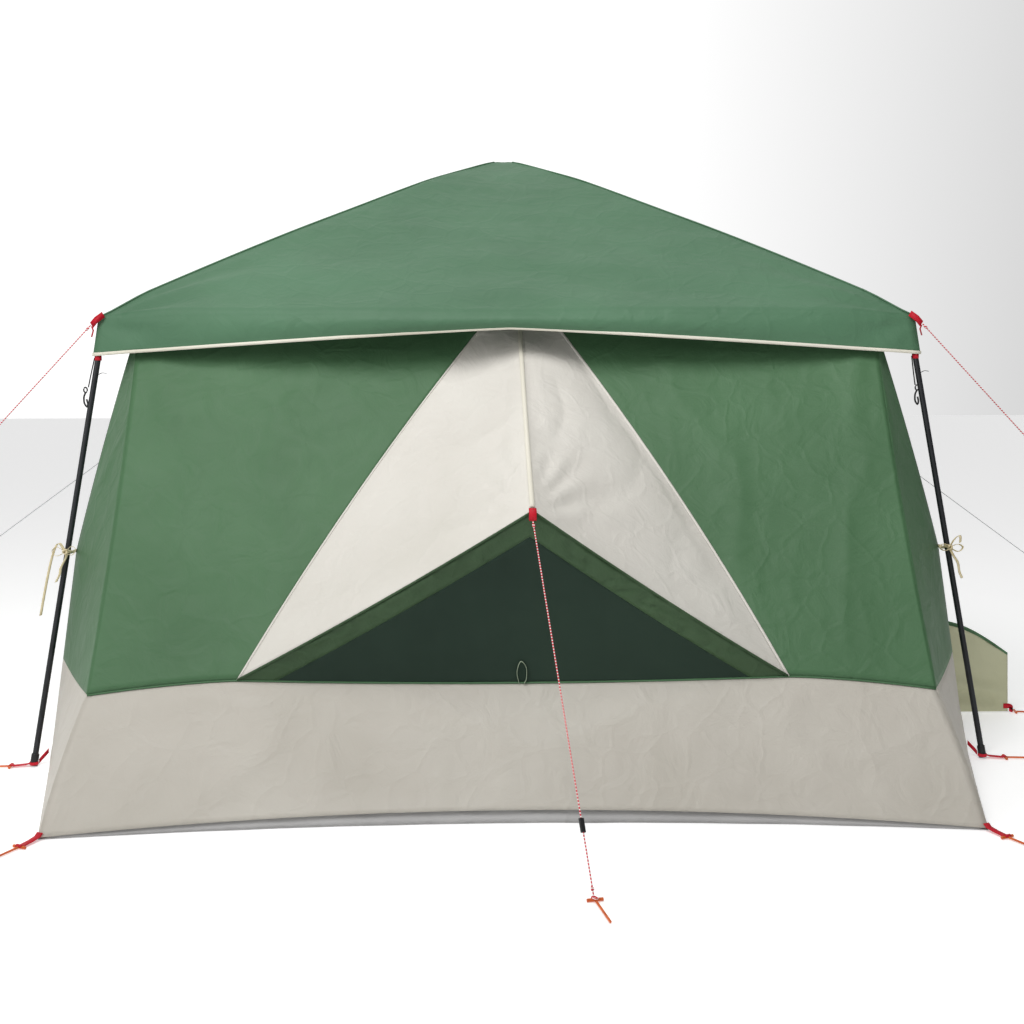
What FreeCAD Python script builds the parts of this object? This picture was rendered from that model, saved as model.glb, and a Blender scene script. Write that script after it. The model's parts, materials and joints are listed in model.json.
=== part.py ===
"""A screen house: a steel-tube frame under a pyramid roof, with a cloth room hung inside it.

The ground is Z = 0 and +Z is up. The front, with the hooded window, faces -Y. The origin is
the middle of the groundsheet's underside. Left and right, and front and back, share their
sizes. Lengths are in millimetres.
"""
import FreeCAD, Part
import os
from functools import partial
from math import atan2, degrees, hypot

Vector = FreeCAD.Vector
Rotation = FreeCAD.Rotation
Placement = FreeCAD.Placement

DIMENSIONS = [
    ("foot_half", 1840), ("leg_half_at_eave", 1606), ("eave_height", 1585), ("elbow_height", 1688),
    ("tube_radius", 11), ("tube_bore", 10), ("ferrule_radius", 9.9), ("ferrule_bore", 8.7),
    ("ferrule_length", 160), ("leg_joint_height", 820), ("foot_lift", 3.0),
    ("cap_radius", 14.5), ("cap_bore", 11.1), ("cap_length", 45), ("cap_floor", 5),
    ("sleeve_radius", 13.5), ("sleeve_bore", 11.1), ("sleeve_length", 75), ("socket_depth", 55),
    ("hub_height", 2524), ("hub_half", 34), ("hub_radius", 32), ("hub_thickness", 34),
    ("apex_height", 2600), ("roof_half", 1604), ("roof_corner_height", 1728),
    ("valance_half", 1624), ("valance_arch", 100),
    ("cloth", 3), ("seam_gap", 3),
    ("wall_top", 1710), ("wall_top_x", 1475), ("wall_top_y", 1500),
    ("side_ground_x", 1790), ("side_ground_y", 1800),
    ("corner_x", 1540), ("corner_y", 2640), ("centre_y", 2530),
    ("mud_height", 430), ("corner_seam_x", 1455), ("corner_seam_height", 405), ("side_mud_height", 400),
    ("hem_height", 5), ("sheet_thickness", 4),
    ("hood_base_half", 960), ("hood_top_left", -95), ("hood_top_right", 185), ("hood_x", 62),
    ("hood_y", 2402), ("hood_height", 1030), ("band_width", 75),
    ("flap_front_y", 1170), ("flap_rear_y", 797), ("flap_reach", 2220), ("flap_tip_height", 271),
    ("flap_shoulder_x", 1940), ("flap_shoulder_height", 412), ("flap_lift", 8),
    ("flap_tab_long", 24), ("flap_tab_thick", 3), ("flap_tab_high", 22),
    ("hinge_x", 1806), ("zip_width", 18), ("zip_below_seam", 60),
    ("rope_radius", 2.25), ("rope_start_half", 1628), ("rope_start_height", 1690),
    ("front_peg_x", 3250), ("rear_peg_x", 3950), ("side_peg_y", 1600),
    ("hood_peg_x", 206), ("hood_peg_y", 3155), ("rope_end_height", 6),
    ("slider_long", 42), ("slider_wide", 16), ("slider_thick", 9), ("slider_bore", 2.6),
    ("slider_to_peg", 250), ("hood_slider_to_peg", 230), ("slider_round", 3),
    ("peg_length", 150), ("peg_radius", 3.5), ("peg_head_radius", 5), ("peg_head_length", 48),
    ("webbing_width", 25), ("webbing_thickness", 2), ("corner_strap", 60), ("foot_strap", 55),
    ("peg_past_strap", 10), ("peg_past_rope", 12), ("hood_tab_wide", 34), ("hood_tab_thick", 5),
    ("hood_tab_high", 40), ("loop_wide", 30), ("loop_high", 76), ("loop_edge", 5), ("loop_y", 2273),
    ("roof_tab_long", 14), ("roof_tab_wide", 30), ("roof_tab_thick", 4),
    ("tie_height", 815), ("tie_width", 20), ("hook_top", 1545), ("hook_low", 1400), ("hook_gap", 20),
]

doc = FreeCAD.newDocument("ScreenHouse")
sheet = doc.addObject("Spreadsheet::Sheet", "Dimensions")
for row, (alias, value) in enumerate(DIMENSIONS, start=1):
    sheet.set(f"A{row}", alias)
    sheet.set(f"B{row}", str(value))
    sheet.setAlias(f"B{row}", alias)
doc.recompute()

subparts = []


def size(alias):
    return float(sheet.get(alias))


def bind(item, **cells):
    """Tie each named property of an object to an expression on the sheet."""
    for prop, cell in cells.items():
        item.setExpression(prop, f"Dimensions.{cell}")
    return item


def keep(item, label):
    """Name a finished sub-part and list it for export."""
    item.Label = label
    subparts.append(item)
    return item


def group(label, items):
    """Several like pieces, or the panels of one sewn piece, kept as separate solids."""
    item = doc.addObject("Part::Compound", label)
    item.Links = items
    return keep(item, label)


def along(start, direction):
    """A placement whose local Z runs from start along direction."""
    return Placement(start, Rotation(Vector(0, 0, 1), direction))


def rod(start, end, radius):
    item = doc.addObject("Part::Cylinder", "Rod")
    bind(item, Radius=radius)
    item.Height = (end - start).Length
    item.Placement = along(start, end - start)
    return item


def cut(base, tool):
    item = doc.addObject("Part::Cut", "Cut")
    item.Base, item.Tool = base, tool
    return item


def fuse(*items):
    item = doc.addObject("Part::MultiFuse", "Fuse")
    item.Shapes = list(items)
    return item


def tube(start, end, outer="tube_radius", inner="tube_bore"):
    return cut(rod(start, end, outer), rod(start, end, inner))


def box(centre, lengths, rotation=Rotation()):
    """A box of the given X, Y and Z lengths, turned about its own centre."""
    item = doc.addObject("Part::Box", "Box")
    item.Length, item.Width, item.Height = lengths
    half = Vector(*lengths) * 0.5
    item.Placement = Placement(centre - rotation.multVec(half), rotation)
    return item


def panel(points, inside):
    """A flat cloth panel: its sewn outline less the seam gap, thickened towards the inside."""
    outline = Part.makePolygon(points + points[:1])
    face = Part.Face(outline.makeOffset2D(-size("seam_gap"), 2))
    normal = face.normalAt(0, 0)
    if normal.dot(inside) < 0:
        normal = normal * -1
    item = doc.addObject("Part::Feature", "Panel")
    item.Shape = face.extrude(normal * size("cloth"))
    return item


def mirrored(point, side_x, side_y):
    return Vector(point.x * side_x, point.y * side_y, point.z)


CORNERS = {"front_left": (-1, -1), "front_right": (1, -1), "back_left": (-1, 1), "back_right": (1, 1)}

# --- The frame: four leaning legs, four roof ribs, an elbow at each eave corner, one hub ---

leg_slope = (size("foot_half") - size("leg_half_at_eave")) / size("eave_height")
elbow_half = size("foot_half") - leg_slope * size("elbow_height")


def leg_point(height):
    half = size("foot_half") - leg_slope * height
    return Vector(half, half, height)


elbow = leg_point(size("elbow_height"))
hub_point = Vector(size("hub_half"), size("hub_half"), size("hub_height"))
down_leg = (leg_point(0) - elbow).normalize()
up_rib = (hub_point - elbow).normalize()
rib_middle = (elbow + hub_point) * 0.5
tube_start = size("sleeve_length") - size("socket_depth")

foot_caps, leg_ferrules, elbows, ribs_lower, ribs_upper, rib_ferrules = [], [], [], [], [], []
hub_sleeves, hub_bores = [], []

for corner, (sx, sy) in CORNERS.items():
    at = partial(mirrored, side_x=sx, side_y=sy)
    foot = leg_point(size("foot_lift"))
    joint = leg_point(size("leg_joint_height"))
    cap_top = foot - down_leg * size("cap_length")
    tube_foot = foot - down_leg * size("cap_floor")
    keep(tube(at(tube_foot), at(joint)), f"leg_lower_{corner}")
    keep(tube(at(joint), at(elbow + down_leg * tube_start)), f"leg_upper_{corner}")

    half_ferrule = down_leg * (size("ferrule_length") / 2)
    leg_ferrules.append(tube(at(joint + half_ferrule), at(joint - half_ferrule),
                             "ferrule_radius", "ferrule_bore"))
    cap_hole = rod(at(tube_foot), at(cap_top), "cap_bore")
    foot_caps.append(cut(rod(at(foot), at(cap_top), "cap_radius"), cap_hole))

    leg_sleeve_end = elbow + down_leg * size("sleeve_length")
    rib_sleeve_end = elbow + up_rib * size("sleeve_length")
    ball = bind(doc.addObject("Part::Sphere", "Ball"), Radius="sleeve_radius")
    ball.Placement = Placement(at(elbow), Rotation())
    outside = fuse(rod(at(elbow), at(leg_sleeve_end), "sleeve_radius"), ball,
                   rod(at(elbow), at(rib_sleeve_end), "sleeve_radius"))
    inside = fuse(rod(at(elbow + down_leg * tube_start), at(leg_sleeve_end), "sleeve_bore"),
                  rod(at(elbow + up_rib * tube_start), at(rib_sleeve_end), "sleeve_bore"))
    elbows.append(cut(outside, inside))

    rib_end = hub_point - up_rib * tube_start
    hub_sleeve_end = hub_point - up_rib * size("sleeve_length")
    ribs_lower.append(tube(at(elbow + up_rib * tube_start), at(rib_middle)))
    ribs_upper.append(tube(at(rib_middle), at(rib_end)))
    half_ferrule = up_rib * (size("ferrule_length") / 2)
    rib_ferrules.append(tube(at(rib_middle - half_ferrule), at(rib_middle + half_ferrule),
                             "ferrule_radius", "ferrule_bore"))
    hub_sleeves.append(rod(at(hub_point), at(hub_sleeve_end), "sleeve_radius"))
    hub_bores.append(rod(at(rib_end), at(hub_sleeve_end), "sleeve_bore"))

group("foot_caps", foot_caps)
group("leg_ferrules", leg_ferrules)
group("corner_elbows", elbows)
group("roof_ribs_lower", ribs_lower)
group("roof_ribs_upper", ribs_upper)
group("rib_ferrules", rib_ferrules)

hub_base = Vector(0, 0, size("hub_height") - size("hub_thickness") / 2)
hub_core = bind(doc.addObject("Part::Cylinder", "HubCore"), Radius="hub_radius * 1.5", Height="hub_thickness")
hub_core.Placement = Placement(hub_base, Rotation())
keep(cut(fuse(hub_core, *hub_sleeves), fuse(*hub_bores)), "apex_hub")

# --- The roof: four sewn panels down to the eave, and a valance with an arched hem ---

apex = Vector(0, 0, size("apex_height"))
roof_corner = Vector(size("roof_half"), size("roof_half"), size("roof_corner_height"))
valance_corner = Vector(size("valance_half"), size("valance_half"), size("eave_height"))
SIDES = {"front": 0, "right": 90, "back": 180, "left": 270}

for side, angle in SIDES.items():
    turn = Rotation(Vector(0, 0, 1), angle)

    def turned(x, y, z):
        return turn.multVec(Vector(x, y, z))

    reach, drop = roof_corner.x, roof_corner.z
    face = [turned(-reach, -reach, drop), turned(reach, -reach, drop), apex]
    keep(panel(face, Vector(0, 0, -1)), f"roof_{side}")

    halves = []
    for half in (-1, 1):
        top = [turned(half * reach, -reach, drop), turned(0, -reach, drop)]
        low, arch = valance_corner, valance_corner.z + size("valance_arch")
        depth = (arch - low.z) * (low.x - reach) / (drop - low.z)
        hem = [turned(0, -low.x + depth, arch), turned(half * low.x, -low.x, low.z)]
        halves.append(panel(top + hem, turned(0, 1, 0)))
    group(f"valance_{side}", halves)

# --- The room's walls: they lean out to pegged corners, with a pleat down the middle ---

wall_corner = Vector(size("wall_top_x"), -size("wall_top_y"), size("wall_top"))
side_ground = Vector(size("side_ground_x"), -size("side_ground_y"), 0)
peg_corner = Vector(size("corner_x"), -size("corner_y"), 0)
fold_slope = (size("corner_y") - size("centre_y")) / size("corner_x")
lean_slope = (size("centre_y") + fold_slope * wall_corner.x - size("wall_top_y")) / size("wall_top")


def front_point(x, z):
    """The point of the front wall at the given X and height."""
    return Vector(x, -(size("centre_y") + fold_slope * abs(x) - lean_slope * z), z)


def between(low, high, z):
    """The point at height z on the line from low to high."""
    return low + (high - low) * ((z - low.z) / (high.z - low.z))


mud, hem, top, side_mud = size("mud_height"), size("hem_height"), size("wall_top"), size("side_mud_height")
crease_seam = front_point(size("corner_seam_x"), size("corner_seam_height"))
crease_hem = between(peg_corner, crease_seam, hem)
side_seam = between(side_ground, wall_corner, side_mud)
side_hem = between(side_ground, wall_corner, hem)
hood_base = size("hood_base_half")
hood_tops = {-1: size("hood_top_left"), 1: size("hood_top_right")}
INWARD = Vector(0, 1, 0)

for side, sx in (("left", -1), ("right", 1)):
    outline = [mirrored(wall_corner, sx, 1), front_point(hood_tops[sx], top)]
    outline += [front_point(sx * hood_base, mud), mirrored(crease_seam, sx, 1)]
    keep(panel(outline, INWARD), f"wall_front_{side}")

back = [wall_corner, front_point(0, top), front_point(0, mud), crease_seam]
group("wall_back", [panel([mirrored(p, sx, -1) for p in back], INWARD * -1) for sx in (-1, 1)])

low_wall = [crease_hem, front_point(0, hem), front_point(0, mud), crease_seam]
for side, sy in (("front", 1), ("back", -1)):
    halves = [panel([mirrored(p, sx, sy) for p in low_wall], INWARD * sy) for sx in (-1, 1)]
    group(f"mudwall_{side}", halves)

gussets, low_gussets = [], []
for sx in (-1, 1):
    for sy in (1, -1):
        centre = Vector(-sx, 0, 0)
        gussets.append(panel([mirrored(p, sx, sy) for p in (wall_corner, side_seam, crease_seam)], centre))
        for low in ((side_seam, crease_seam, side_hem), (crease_seam, crease_hem, side_hem)):
            low_gussets.append(panel([mirrored(p, sx, sy) for p in low], centre))
group("corner_gussets", gussets)
group("corner_mudwalls", low_gussets)


def side_point(y, z):
    """The point of the right wall at the given Y and height; its ends follow the side corners."""
    return Vector(between(side_ground, wall_corner, z).x, y, z)


def side_panel(front, rear, sx):
    """A side-wall panel between two pairs of (low, high) points."""
    return panel([mirrored(p, sx, 1) for p in (front[0], rear[0], rear[1], front[1])], Vector(-sx, 0, 0))


def front_edge(z):
    return between(side_ground, wall_corner, z)


def rear_edge(z):
    return mirrored(front_edge(z), 1, -1)


for side, sx in (("left", -1), ("right", 1)):
    upper = side_panel((front_edge(side_mud), front_edge(top)), (rear_edge(side_mud), rear_edge(top)), sx)
    keep(upper, f"wall_{side}")

low_left = side_panel((front_edge(hem), front_edge(side_mud)), (rear_edge(hem), rear_edge(side_mud)), -1)
keep(low_left, "mudwall_left")

opening_front, opening_rear = -size("flap_front_y") - 10, -size("flap_rear_y")


def station(y):
    """The low and high points of the side mud wall at the given Y."""
    return side_point(y, hem), side_point(y, side_mud)


ahead = side_panel((front_edge(hem), front_edge(side_mud)), station(opening_front), 1)
behind = side_panel(station(opening_rear), (rear_edge(hem), rear_edge(side_mud)), 1)
group("mudwall_right", [ahead, behind])
zip_front = opening_rear - size("zip_width")
keep(side_panel(station(zip_front), station(opening_rear), 1), "zip_tape")

ground = [mirrored(peg_corner, -1, 1), Vector(0, -size("centre_y"), 0), peg_corner, side_ground]
ground += [mirrored(p, 1, -1) for p in (side_ground, peg_corner)] + [Vector(0, size("centre_y"), 0)]
ground += [mirrored(p, -1, -1) for p in (peg_corner, side_ground)] + [mirrored(side_ground, -1, 1)]
groundsheet = doc.addObject("Part::Feature", "Groundsheet")
ground_face = Part.Face(Part.makePolygon(ground + ground[:1]))
groundsheet.Shape = ground_face.extrude(Vector(0, 0, size("sheet_thickness")))
keep(groundsheet, "groundsheet")

# --- The window: a cloth hood pulled forward by its own rope, a hem band and a mesh screen ---

hood_apex = Vector(size("hood_x"), -size("hood_y"), size("hood_height"))
hood_panels, bands, meshes = [], [], []
for sx in (-1, 1):
    base, low_middle = front_point(sx * hood_base, mud), front_point(0, mud)
    hood_panels.append(panel([front_point(hood_tops[sx], top), base, hood_apex], INWARD))
    rim, sill = hood_apex - base, low_middle - base
    down = (hood_apex - low_middle).normalize() * -1
    inner_apex = hood_apex + down * size("band_width") * 1.2
    inner_base = base + sill * (size("band_width") * 1.2 / sill.Length * rim.Length / abs(rim.z))
    bands.append(panel([base, hood_apex, inner_apex, inner_base], INWARD))
    meshes.append(panel([inner_base, inner_apex, low_middle], INWARD))
hood_middle = panel([front_point(hood_tops[-1], top), front_point(hood_tops[1], top), hood_apex], INWARD)
group("hood_panel", hood_panels + [hood_middle])
group("hood_band", bands)
group("window_mesh", meshes)

tab_centre = hood_apex + Vector(0, -10, -14)
keep(box(tab_centre, (size("hood_tab_wide"), size("hood_tab_thick"), size("hood_tab_high"))), "hood_tab")
loop_wide, loop_high, webbing = size("loop_wide"), size("loop_high"), size("webbing_thickness")
loop_centre = Vector(0, -size("loop_y"), mud + loop_high / 2 + 6)
loop_hole = (loop_wide - 2 * size("loop_edge"), 2 * webbing, loop_high - 2 * size("loop_edge"))
keep(cut(box(loop_centre, (loop_wide, webbing, loop_high)), box(loop_centre, loop_hole)), "window_loop")

# --- The side flap: the low corner of the right wall, which swings out on its sewn edge ---

flap_y, lift = -size("flap_front_y"), size("flap_lift")
flap_shift = Vector(size("hinge_x") - size("side_ground_x"), 0, 0)
flap_outline = [side_point(flap_y, lift) + flap_shift, Vector(size("flap_reach"), flap_y, lift),
                Vector(size("flap_reach") - 10, flap_y, size("flap_tip_height")),
                Vector(size("flap_shoulder_x"), flap_y, size("flap_shoulder_height")),
                side_point(flap_y, side_mud) + flap_shift]
keep(panel(flap_outline, INWARD), "side_flap")
tab_size = (size("flap_tab_long"), size("flap_tab_thick"), size("flap_tab_high"))
tab_at = Vector(size("flap_reach") + tab_size[0] / 2, flap_y + tab_size[1] / 2, lift + tab_size[2] / 2 + 3)
keep(box(tab_at, tab_size), "flap_tab")


def pocketed_block(label, length, width, depth, bore, placement):
    """A moulded block with a bore along its length: a padded sketch of a rectangle and a circle."""
    body = doc.addObject("PartDesign::Body", label)
    plane = next(f for f in body.Origin.OriginFeatures if f.Role == "XY_Plane")
    sketch = body.newObject("Sketcher::SketchObject", label + "Sketch")
    sketch.AttachmentSupport = [(plane, "")]
    sketch.MapMode = "FlatFace"
    half_w, half_d = size(width) / 2, size(depth) / 2
    ring = [Vector(-half_w, -half_d, 0), Vector(half_w, -half_d, 0), Vector(half_w, half_d, 0),
            Vector(-half_w, half_d, 0)]
    for first, second in zip(ring, ring[1:] + ring[:1]):
        sketch.addGeometry(Part.LineSegment(first, second))
    if bore:
        sketch.addGeometry(Part.Circle(Vector(0, 0, 0), Vector(0, 0, 1), size(bore)))
    pad = body.newObject("PartDesign::Pad", label + "Pad")
    pad.Profile = sketch
    pad.setExpression("Length", f"Dimensions.{length}")
    doc.recompute()
    tall = [f"Edge{i}" for i, edge in enumerate(pad.Shape.Edges, start=1)
            if len(edge.Vertexes) == 2 and abs(edge.Vertexes[0].Z - edge.Vertexes[1].Z) > 1]
    tall = [name for name in tall if pad.Shape.getElement(name).Curve.TypeId == "Part::GeomLine"
            and abs(pad.Shape.getElement(name).Vertexes[0].X) > half_w - 0.1]
    rounded = body.newObject("PartDesign::Fillet", label + "Fillet")
    rounded.Base = (pad, tall)
    rounded.setExpression("Radius", "Dimensions.slider_round")
    body.Placement = placement
    return keep(body, label)


zip_height = side_mud - size("zip_below_seam")
wall_lean = (wall_corner - side_ground)
zip_axis = Vector(wall_lean.x, 0, wall_lean.z).normalize()
zip_out = Vector(zip_axis.z, 0, -zip_axis.x)
zip_centre = side_point(opening_rear - size("zip_width") / 2, zip_height) + zip_out * 4
zip_turn = Rotation(Vector(0, 0, 1), zip_axis)
zip_block = box(zip_centre, (5, 9, 14), zip_turn)
zip_pull = box(zip_centre - zip_axis * 19, (2, 6, 26), zip_turn)
keep(fuse(zip_block, zip_pull), "zip_slider")

# --- Ropes, their sliders, and the pegs, which lie flat in their loops ---

rope_ends = {}
tab_half, tab_height = size("rope_start_half"), size("rope_start_height")
for corner, (sx, sy) in CORNERS.items():
    start = Vector(sx * tab_half, sy * tab_half, tab_height)
    peg_x = size("front_peg_x") if sy < 0 else size("rear_peg_x")
    rope_ends[corner] = (start, Vector(sx * peg_x, sy * size("side_peg_y"), size("rope_end_height")))
rope_ends["hood"] = (tab_centre + Vector(0, -6, -16),
                     Vector(size("hood_peg_x"), -size("hood_peg_y"), size("rope_end_height")))

for name, (start, end) in rope_ends.items():
    keep(rod(start, end, "rope_radius"), f"guy_rope_{name}")
    run = end - start
    gap_to_peg = size("slider_to_peg") if name != "hood" else size("hood_slider_to_peg")
    slider_start = end - run.normalize() * gap_to_peg
    pocketed_block(f"rope_slider_{name}", "slider_long", "slider_wide", "slider_thick", "slider_bore",
                   along(slider_start, end - start))


def peg(head, direction):
    """A ground peg lying flat: a round shank with a short cross bar at its head."""
    direction = direction.normalize()
    across = Vector(-direction.y, direction.x, 0) * (size("peg_head_length") / 2)
    tip = head + direction * size("peg_length")
    return fuse(rod(head, tip, "peg_radius"), rod(head - across, head + across, "peg_head_radius"))


def strap(start, direction, length):
    """A flat strap of webbing along the ground."""
    direction = direction.normalize()
    turn = Rotation(Vector(0, 0, 1), degrees(atan2(direction.y, direction.x)))
    middle = start + direction * (length / 2)
    return box(middle, (length, size("webbing_width"), size("webbing_thickness")), turn)


pegs, loops, tabs, ties, hooks = [], [], [], [], []
peg_lift = size("peg_head_radius") + 0.2
for corner, (sx, sy) in CORNERS.items():
    outward = Vector(sx * 0.45, sy, 0).normalize()
    strap_start = mirrored(Vector(peg_corner.x, -peg_corner.y, 6), sx, sy) + outward * 6
    loops.append(strap(strap_start, outward, size("corner_strap")))
    head = strap_start + outward * (size("corner_strap") + size("peg_past_strap"))
    pegs.append(peg(Vector(head.x, head.y, peg_lift), outward))

    sideways = Vector(sx, sy * 0.1, 0)
    foot = Vector(sx * (size("foot_half") + 18), sy * (size("foot_half") + 4), 3)
    loops.append(strap(foot, sideways, size("foot_strap")))
    head = foot + sideways.normalize() * (size("foot_strap") + size("peg_past_strap"))
    pegs.append(peg(Vector(head.x, head.y, peg_lift), sideways))

    diagonal = Vector(sx, sy, 0).normalize()
    turn = Rotation(Vector(0, 0, 1), degrees(atan2(sy, sx)))
    tab_middle = Vector(sx * tab_half, sy * tab_half, tab_height) - diagonal * (size("roof_tab_long") / 2 + 3)
    tabs.append(box(tab_middle, (size("roof_tab_long"), size("roof_tab_thick"), size("roof_tab_wide")), turn))

    tie_low = mirrored(leg_point(size("tie_height")), sx, sy)
    tie_high = mirrored(leg_point(size("tie_height") + size("tie_width")), sx, sy)
    ties.append(cut(rod(tie_low, tie_high, "sleeve_radius"), rod(tie_low, tie_high, "cap_bore")))

    beside = Vector(sx * size("hook_gap"), 0, 0)
    hook_top, hook_low = leg_point(size("hook_top")), leg_point(size("hook_low"))
    hooks.append(rod(mirrored(hook_top, sx, sy) - beside, mirrored(hook_low, sx, sy) - beside, "slider_bore"))

for name, (start, end) in rope_ends.items():
    run = Vector(end.x - start.x, end.y - start.y, 0).normalize()
    pegs.append(peg(Vector(end.x, end.y, peg_lift) + run * size("peg_past_rope"), run))
flap_peg_x = size("flap_reach") + size("flap_tab_long") + size("peg_past_strap")
pegs.append(peg(Vector(flap_peg_x, tab_at.y, peg_lift), Vector(1, -0.2, 0)))

group("ground_pegs", pegs)
group("peg_loops", loops)
group("roof_corner_tabs", tabs)
group("wall_ties", ties)
group("wall_hooks", hooks)

# --- Check every object, then write each sub-part ---

doc.recompute()
for item in doc.Objects:
    if "Invalid" in item.State or "Error" in item.State:
        raise RuntimeError(f"{item.Label} did not compute: {item.State}")

os.makedirs("parts", exist_ok=True)
for item in subparts:
    shape = item.Shape
    if shape.isNull() or not shape.isValid() or shape.Volume <= 0:
        raise RuntimeError(f"{item.Label} is not a valid solid")
    shape.exportStep(f"parts/{item.Label}.step")
    print(f"{item.Label}: {len(shape.Solids)} solid(s), {shape.Volume / 1000:.1f} cm3")

for name, (start, end) in rope_ends.items():
    print(f"guy_rope_{name} runs {hypot(end.x - start.x, end.y - start.y, end.z - start.z):.0f} mm")
print(len(subparts), "sub-parts")
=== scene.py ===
# %% [markdown]
# # A screen house
# A pyramid roof of coated polyester rides on a steel-tube frame, and a cloth room hangs inside
# it. The frame arrives as finished parts; this lesson makes the cloth, cords and trim, which
# need curved sheets, and the finish of every surface.

# %% Load the frame
import json
import math
import bmesh
import bpy
from mathutils import Matrix, Vector, noise


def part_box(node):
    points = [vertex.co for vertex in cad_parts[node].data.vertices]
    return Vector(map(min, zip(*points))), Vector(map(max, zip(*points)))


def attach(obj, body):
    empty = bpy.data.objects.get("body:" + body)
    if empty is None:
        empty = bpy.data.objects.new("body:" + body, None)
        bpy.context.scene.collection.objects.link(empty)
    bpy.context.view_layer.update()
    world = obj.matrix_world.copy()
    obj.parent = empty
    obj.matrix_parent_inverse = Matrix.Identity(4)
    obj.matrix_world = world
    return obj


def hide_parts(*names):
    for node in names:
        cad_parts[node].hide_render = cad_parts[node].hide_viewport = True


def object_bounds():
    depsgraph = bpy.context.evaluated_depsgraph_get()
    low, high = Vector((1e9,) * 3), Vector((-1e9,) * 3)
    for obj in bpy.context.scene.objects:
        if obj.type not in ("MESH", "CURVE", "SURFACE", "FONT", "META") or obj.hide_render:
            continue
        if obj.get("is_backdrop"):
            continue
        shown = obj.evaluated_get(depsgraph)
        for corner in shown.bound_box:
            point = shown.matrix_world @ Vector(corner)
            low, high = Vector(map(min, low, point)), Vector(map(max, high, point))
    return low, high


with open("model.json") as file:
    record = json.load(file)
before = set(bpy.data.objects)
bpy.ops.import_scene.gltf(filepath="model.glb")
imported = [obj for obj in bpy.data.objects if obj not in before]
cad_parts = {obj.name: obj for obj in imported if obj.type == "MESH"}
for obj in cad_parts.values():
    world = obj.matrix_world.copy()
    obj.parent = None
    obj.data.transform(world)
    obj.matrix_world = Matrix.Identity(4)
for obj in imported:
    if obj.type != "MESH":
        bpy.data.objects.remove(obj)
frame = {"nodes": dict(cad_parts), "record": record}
cad_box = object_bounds()
print("frame box", [round(c, 3) for corner in cad_box for c in corner])

# %% [markdown]
# The room's shape follows from a few corners, which are those of the frame's own cloth parts.
# The front right quarter is described here, and every other quarter is its mirror.

# %% The corners that everything follows
GROUND_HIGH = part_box("groundsheet")[1]
SIDE_X, PEG_Y = GROUND_HIGH.x, GROUND_HIGH.y
PEG = Vector((1.54, -PEG_Y, 0.0))
SIDE = Vector((SIDE_X, -1.80, 0.0))
TOP = Vector((1.475, -1.50, 1.71))
TIE = Vector((1.700, -1.675, 0.815))
CENTRE_Y, HOLLOW, LEAN = 2.53, 0.11, 0.6613
CORNER_X, CORNER_MUD, SIDE_MUD = 1.455, 0.405, 0.40
HOOD_APEX = Vector((0.062, -2.402, 1.03))
HOOD_BASE_X, HOOD_TOP_X = 0.96, {-1: -0.095, 1: 0.185}
EAVE, EAVE_Z, HEM_Z, APEX_Z = 1.604, 1.728, 1.585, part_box("roof_front")[1].z
VALANCE_HALF = 1.624
FOOT_HALF, LEG_SLOPE = 1.84, (1.84 - 1.606) / 1.585
CORNERS = [(sx, sy) for sx in (-1, 1) for sy in (-1, 1)]
LEFT_RIGHT = (("left", -1), ("right", 1))
UP = Vector((0, 0, 1))
print("peg corner", PEG, "roof apex height", round(APEX_Z, 3))


def leg_at(z, sx=1, sy=-1):
    """The axis of a leg at a height."""
    half = FOOT_HALF - LEG_SLOPE * z
    return Vector((sx * half, sy * half, z))


def wall_y(x, z):
    """The front wall leans out towards the ground and is hollow between its pegged corners."""
    return -(CENTRE_Y + HOLLOW * (x / PEG.x) ** 2 - LEAN * z)


def seam_z(x):
    """The height of the seam between green and cream, which dips towards the pegged corners."""
    out = abs(x)
    if out < HOOD_BASE_X:
        return 0.413 + 0.022 * (out / HOOD_BASE_X) ** 2
    return 0.435 - 0.030 * ((out - HOOD_BASE_X) / (CORNER_X - HOOD_BASE_X)) ** 1.7


def mix(a, b, t):
    return a + (b - a) * t


def bow(t):
    """A parabola from 0 up to 1 half way and back to 0."""
    return 4 * t * (1 - t)


def smooth(t):
    t = max(0.0, min(1.0, t))
    return t * t * (3 - 2 * t)


def placed(name, data):
    """A new object with its data, in the scene."""
    thing = bpy.data.objects.new(name, data)
    bpy.context.scene.collection.objects.link(thing)
    return thing


# %% [markdown]
# The camera stands at a person's chest height, six and a half metres back, and looks a little
# down. The focal length is a normal one.

# %% The camera
camera_data = bpy.data.cameras.new("camera")
camera_data.sensor_width = 36.0
camera_data.lens = 43.7
camera = placed("camera", camera_data)
camera.location = (-0.09, -6.54, 1.436)
camera.rotation_euler = (math.radians(90 - 5.62), math.radians(0.17), math.radians(-1.16))
bpy.context.scene.camera = camera
bpy.context.scene.view_settings.view_transform = "Standard"

# %% [markdown]
# Colours are given as sRGB hex, the way a paint or cloth chart would, and turned to the linear
# values that the renderer adds and multiplies. One helper adds a node, sets it and links it.


# %% Colour and node helpers
def linear(hex_colour):
    """An sRGB hex colour as linear RGBA."""
    parts = [int(hex_colour[i:i + 2], 16) / 255 for i in (0, 2, 4)]
    return tuple(c / 12.92 if c <= 0.04045 else ((c + 0.055) / 1.055) ** 2.4 for c in parts) + (1.0,)


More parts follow.
